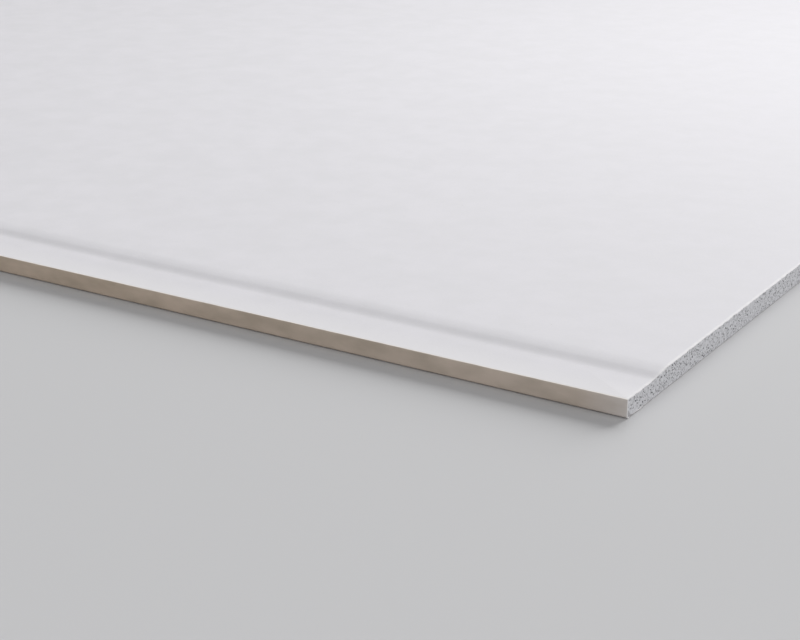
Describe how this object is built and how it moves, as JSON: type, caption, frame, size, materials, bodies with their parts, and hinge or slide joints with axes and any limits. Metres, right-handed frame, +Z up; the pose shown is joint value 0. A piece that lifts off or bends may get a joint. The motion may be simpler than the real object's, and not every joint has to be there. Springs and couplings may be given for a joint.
{
  "type": "drywall sheet",
  "caption": "Flat paper-faced gypsum board lying face up, with tapered long edges wrapped in the face paper and square-cut short ends that show the bare core.",
  "frame": {"origin": "middle of the underside, on the surface that the sheet lies on", "axes": "+X along the sheet, parallel to the tapered long edges; +Y across the sheet; +Z up, out of the white face"},
  "size_m": [2.4, 1.2, 0.0125],
  "materials": {
    "gypsum": "matt, chalky and full of small air holes where it is cut",
    "face_paper": "smooth matt off-white liner, with a buff tone where it is folded round the long edges",
    "back_paper": "rough matt grey liner of recycled fibre"
  },
  "bodies": {
    "root": {"gypsum_core": "gypsum", "face_paper": "face_paper", "back_paper": "back_paper"}
  },
  "joints": []
}
